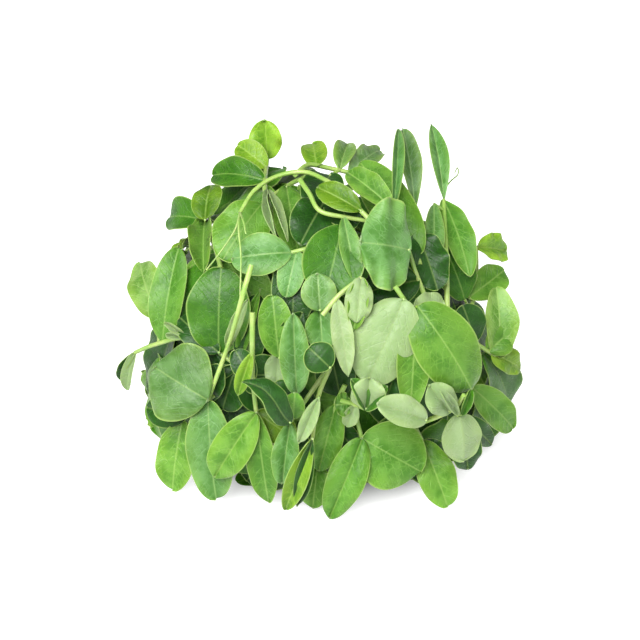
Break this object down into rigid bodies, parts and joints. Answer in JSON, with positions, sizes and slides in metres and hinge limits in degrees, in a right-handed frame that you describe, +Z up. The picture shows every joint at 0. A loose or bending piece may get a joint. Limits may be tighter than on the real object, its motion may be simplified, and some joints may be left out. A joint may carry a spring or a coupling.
{
  "type": "heap of cut pea shoots",
  "caption": "Loose heap of cut green pea shoots with rounded leaflets, pale stems, folded buds and fine tendrils, to lie on a plate or board.",
  "frame": {"origin": "on the surface the heap lies on, under the middle of its lowest leaf", "axes": "+Z up, -Y towards the side that the picture shows, +X to the viewer's right"},
  "size_m": [0.1534, 0.1698, 0.1164],
  "materials": {
    "leaf": "waxy leaf green, satin",
    "young_leaf": "pale yellow-green, satin",
    "stem": "pale green, smooth"
  },
  "bodies": {
    "root": {"shoot_bed_1": "leaf", "shoot_bed_2": "leaf", "shoot_bed_3": "leaf", "shoot_bed_4": "leaf", "shoot_bed_5": "leaf", "shoot_inner_1": "leaf", "shoot_inner_2": "leaf", "shoot_inner_3": "leaf", "shoot_middle_1": "leaf", "shoot_middle_2": "leaf", "shoot_middle_3": "leaf", "shoot_middle_4": "leaf", "shoot_under_1": "leaf", "shoot_under_2": "leaf", "shoot_under_3": "leaf", "shoot_under_4": "leaf", "shoot_under_5": "leaf", "shoot_under_6": "leaf", "shoot_back_low_1": "leaf", "shoot_back_low_2": "leaf", "shoot_back_low_3": "leaf", "shoot_back_low_4": "leaf", "shoot_back_low_5": "leaf", "shoot_back_high_1": "leaf", "shoot_back_high_2": "leaf", "shoot_back_high_3": "leaf", "shoot_back_high_4": "leaf", "shoot_top_left_back": "leaf", "shoot_left_upper": "leaf", "shoot_behind_left": "leaf", "shoot_top_middle": "leaf", "shoot_right_back": "leaf", "shoot_right_edge": "leaf", "shoot_left_tall": "leaf", "shoot_right_standing": "leaf", "shoot_top_right": "leaf", "shoot_dark_middle": "leaf", "shoot_right_upper": "leaf", "shoot_bright_upper": "leaf", "shoot_arch": "leaf", "shoot_centre_upper": "leaf", "shoot_left_grey": "leaf", "shoot_left_round": "leaf", "shoot_centre_left": "leaf", "shoot_centre_grey": "leaf", "shoot_right_big": "leaf", "shoot_centre_pale": "leaf", "shoot_left_low": "leaf", "shoot_left_front": "leaf", "shoot_left_twin": "leaf", "shoot_pointed": "leaf", "shoot_right_low": "leaf", "shoot_right_front_leaf": "leaf", "shoot_front_dark": "leaf", "shoot_front_curled": "leaf", "shoot_front_pale": "leaf", "shoot_front_pair": "leaf", "shoot_cup": "leaf", "shoot_right_bud": "leaf"}
  },
  "joints": []
}
